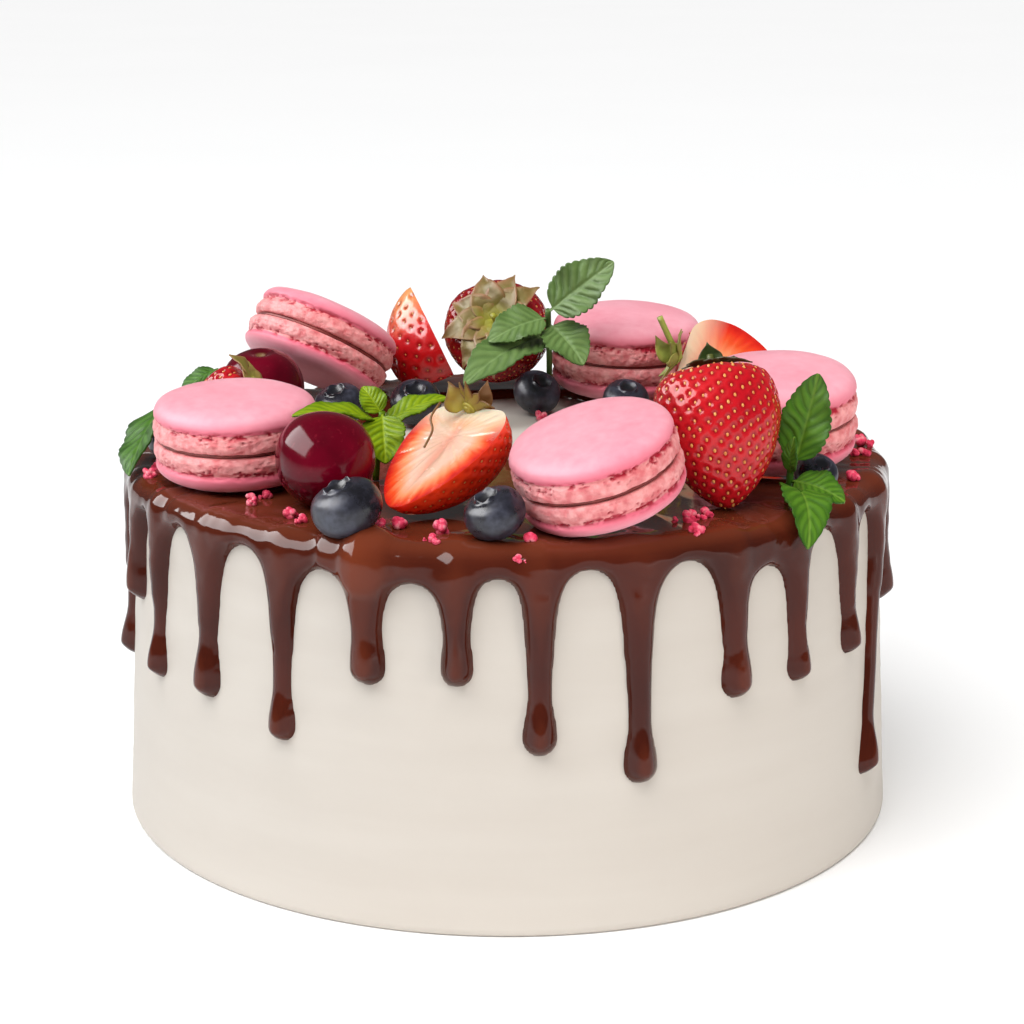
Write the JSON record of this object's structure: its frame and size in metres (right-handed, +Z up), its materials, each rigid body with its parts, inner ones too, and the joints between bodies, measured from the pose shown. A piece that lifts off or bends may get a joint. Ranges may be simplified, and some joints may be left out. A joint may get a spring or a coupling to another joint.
{
  "type": "birthday cake",
  "caption": "Round cream-covered cake with dark ganache drips, crowned with pink macarons, strawberries, cherries, blueberries and mint.",
  "frame": {"origin": "centre of the flat base, on the surface that the cake stands on", "axes": "+Z up, -Y towards the front, +X to the right as seen from the front; metres"},
  "size_m": [0.2004, 0.2021, 0.1341],
  "materials": {
    "cream": "smooth white cream, soft sheen",
    "ganache": "glossy dark chocolate",
    "macaron": "smooth pink almond shell, ruffled foot",
    "filling": "soft dark pink cream filling",
    "cherry": "taut dark crimson skin",
    "strawberry": "shiny red skin with seeds, pale cut flesh",
    "blueberry": "dark blue skin with a pale bloom",
    "mint": "veined green leaf",
    "calyx": "dry green and tan sepals"
  },
  "bodies": {
    "root": {"blueberry_1": "blueberry", "blueberry_10": "blueberry", "blueberry_2": "blueberry", "blueberry_3": "blueberry", "blueberry_4": "blueberry", "blueberry_5": "blueberry", "blueberry_6": "blueberry", "blueberry_7": "blueberry", "blueberry_8": "blueberry", "blueberry_9": "blueberry", "cherry_1": "cherry", "cherry_2": "cherry", "cream_cake": "cream", "ganache": "ganache", "macaron_1_filling": "filling", "macaron_1_lower_shell": "macaron", "macaron_1_upper_shell": "macaron", "macaron_2_filling": "filling", "macaron_2_lower_shell": "macaron", "macaron_2_upper_shell": "macaron", "macaron_3_filling": "filling", "macaron_3_lower_shell": "macaron", "macaron_3_upper_shell": "macaron", "macaron_4_filling": "filling", "macaron_4_lower_shell": "macaron", "macaron_4_upper_shell": "macaron", "macaron_5_filling": "filling", "macaron_5_lower_shell": "macaron", "macaron_5_upper_shell": "macaron", "mint_leaf_1": "mint", "mint_leaf_2": "mint", "mint_sprig_1": "mint", "mint_sprig_2": "mint", "mint_sprig_3": "mint", "strawberry_1": "strawberry", "strawberry_1_calyx": "calyx", "strawberry_2": "strawberry", "strawberry_2_calyx": "calyx", "strawberry_3": "strawberry", "strawberry_3_calyx": "calyx", "strawberry_4": "strawberry", "strawberry_4_calyx": "calyx", "strawberry_5": "strawberry", "strawberry_5_calyx": "calyx", "strawberry_6": "strawberry"}
  },
  "joints": []
}
